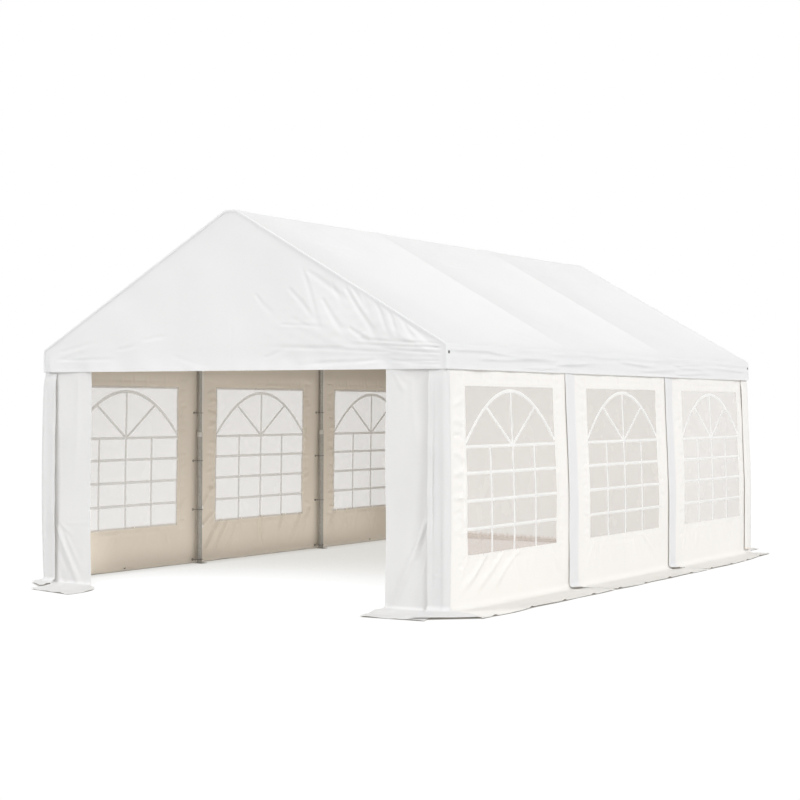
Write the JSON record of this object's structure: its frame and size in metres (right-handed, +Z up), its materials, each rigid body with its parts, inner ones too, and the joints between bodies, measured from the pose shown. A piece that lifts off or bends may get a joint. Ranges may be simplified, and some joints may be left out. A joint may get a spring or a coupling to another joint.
{
  "type": "marquee tent",
  "caption": "White gabled marquee tent on a galvanised tube frame, with an open doorway in the front gable and arched clear windows along both long sides.",
  "frame": {"origin": "on the ground, at the middle of the floor", "axes": "+X across the gable, to the right seen from the open front; +Y along the ridge, from the open front gable to the closed back one; +Z up"},
  "size_m": [4.4648, 6.9486, 2.987],
  "materials": {
    "galvanised_steel": "dull galvanised tube",
    "white_cover": "white coated cloth, satin",
    "white_wall_cloth": "warm white coated cloth, satin",
    "clear_film": "hazy flexible clear film"
  },
  "bodies": {
    "root": {"roof_cover": "white_cover", "left_wall_panel_1": "white_wall_cloth", "left_wall_panel_2": "white_wall_cloth", "left_wall_panel_3": "white_wall_cloth", "right_wall_panel_1": "white_wall_cloth", "right_wall_panel_2": "white_wall_cloth", "right_wall_panel_3": "white_wall_cloth", "front_left_panel": "white_wall_cloth", "front_right_panel": "white_wall_cloth", "back_wall": "white_wall_cloth", "left_window_1": "clear_film", "left_window_2": "clear_film", "left_window_3": "clear_film", "right_window_1": "clear_film", "right_window_2": "clear_film", "right_window_3": "clear_film", "left_post_1": "galvanised_steel", "left_post_2": "galvanised_steel", "left_post_3": "galvanised_steel", "left_post_4": "galvanised_steel", "right_post_1": "galvanised_steel", "right_post_2": "galvanised_steel", "right_post_3": "galvanised_steel", "right_post_4": "galvanised_steel", "left_rafter_1": "galvanised_steel", "left_rafter_2": "galvanised_steel", "left_rafter_3": "galvanised_steel", "left_rafter_4": "galvanised_steel", "right_rafter_1": "galvanised_steel", "right_rafter_2": "galvanised_steel", "right_rafter_3": "galvanised_steel", "right_rafter_4": "galvanised_steel", "ridge_fitting_1": "galvanised_steel", "ridge_fitting_2": "galvanised_steel", "ridge_fitting_3": "galvanised_steel", "ridge_fitting_4": "galvanised_steel", "ridge_rail_1": "galvanised_steel", "ridge_rail_2": "galvanised_steel", "ridge_rail_3": "galvanised_steel", "left_eave_rail_1": "galvanised_steel", "left_eave_rail_2": "galvanised_steel", "left_eave_rail_3": "galvanised_steel", "right_eave_rail_1": "galvanised_steel", "right_eave_rail_2": "galvanised_steel", "right_eave_rail_3": "galvanised_steel", "front_tie_beam": "galvanised_steel", "back_tie_beam": "galvanised_steel"}
  },
  "joints": []
}
